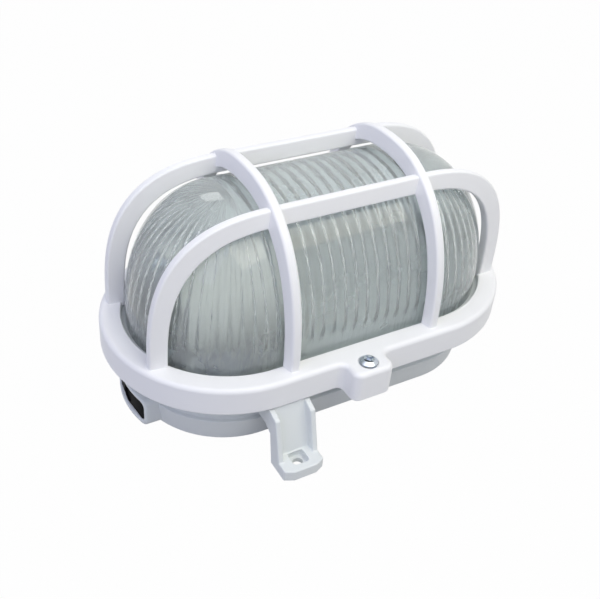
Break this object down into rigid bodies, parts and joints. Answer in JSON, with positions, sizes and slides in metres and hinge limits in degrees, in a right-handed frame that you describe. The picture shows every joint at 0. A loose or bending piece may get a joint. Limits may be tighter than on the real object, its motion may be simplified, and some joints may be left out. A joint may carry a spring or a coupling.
{
  "type": "bulkhead light",
  "caption": "Oval wall light: moulded base with mounting feet and a cable entry, fluted glass dome over a lampholder, and a white guard of arched hoops and long bars.",
  "frame": {"origin": "middle of the flat back face that lies on the wall", "axes": "+X along the length towards the end without the cable entry, +Y across, +Z away from the wall"},
  "size_m": [0.2, 0.1464, 0.114],
  "materials": {
    "guard_plastic": "moulded, satin white",
    "base_plastic": "moulded, cooler white",
    "fluted_glass": "pressed, clear outside, fluted inside",
    "black_rubber": "moulded",
    "seal_rubber": "soft sheet",
    "zinc_steel": "zinc plated, bright",
    "plated_sheet": "plated sheet",
    "brass": "bright",
    "porcelain": "white glaze",
    "terminal_plastic": "natural, translucent white",
    "lead_brown": "sleeved wire",
    "lead_blue": "sleeved wire"
  },
  "bodies": {
    "root": {"base": "base_plastic", "seal": "seal_rubber", "glass": "fluted_glass", "guard": "guard_plastic", "guard_screws": "zinc_steel", "guard_inserts": "brass", "cable_grommet": "black_rubber", "bracket": "plated_sheet", "bracket_screws": "zinc_steel", "holder_body": "porcelain", "holder_shell": "brass", "centre_contact": "brass", "side_contact": "brass", "contact_rivet": "brass", "holder_terminals": "brass", "holder_terminal_screws": "zinc_steel", "holder_fixing_screws": "zinc_steel", "holder_fixing_nuts": "zinc_steel", "terminal_block": "terminal_plastic", "terminal_sleeves": "brass", "terminal_screws": "zinc_steel", "terminal_fixing_screw": "zinc_steel", "lead_live": "lead_brown", "lead_neutral": "lead_blue"}
  },
  "joints": []
}
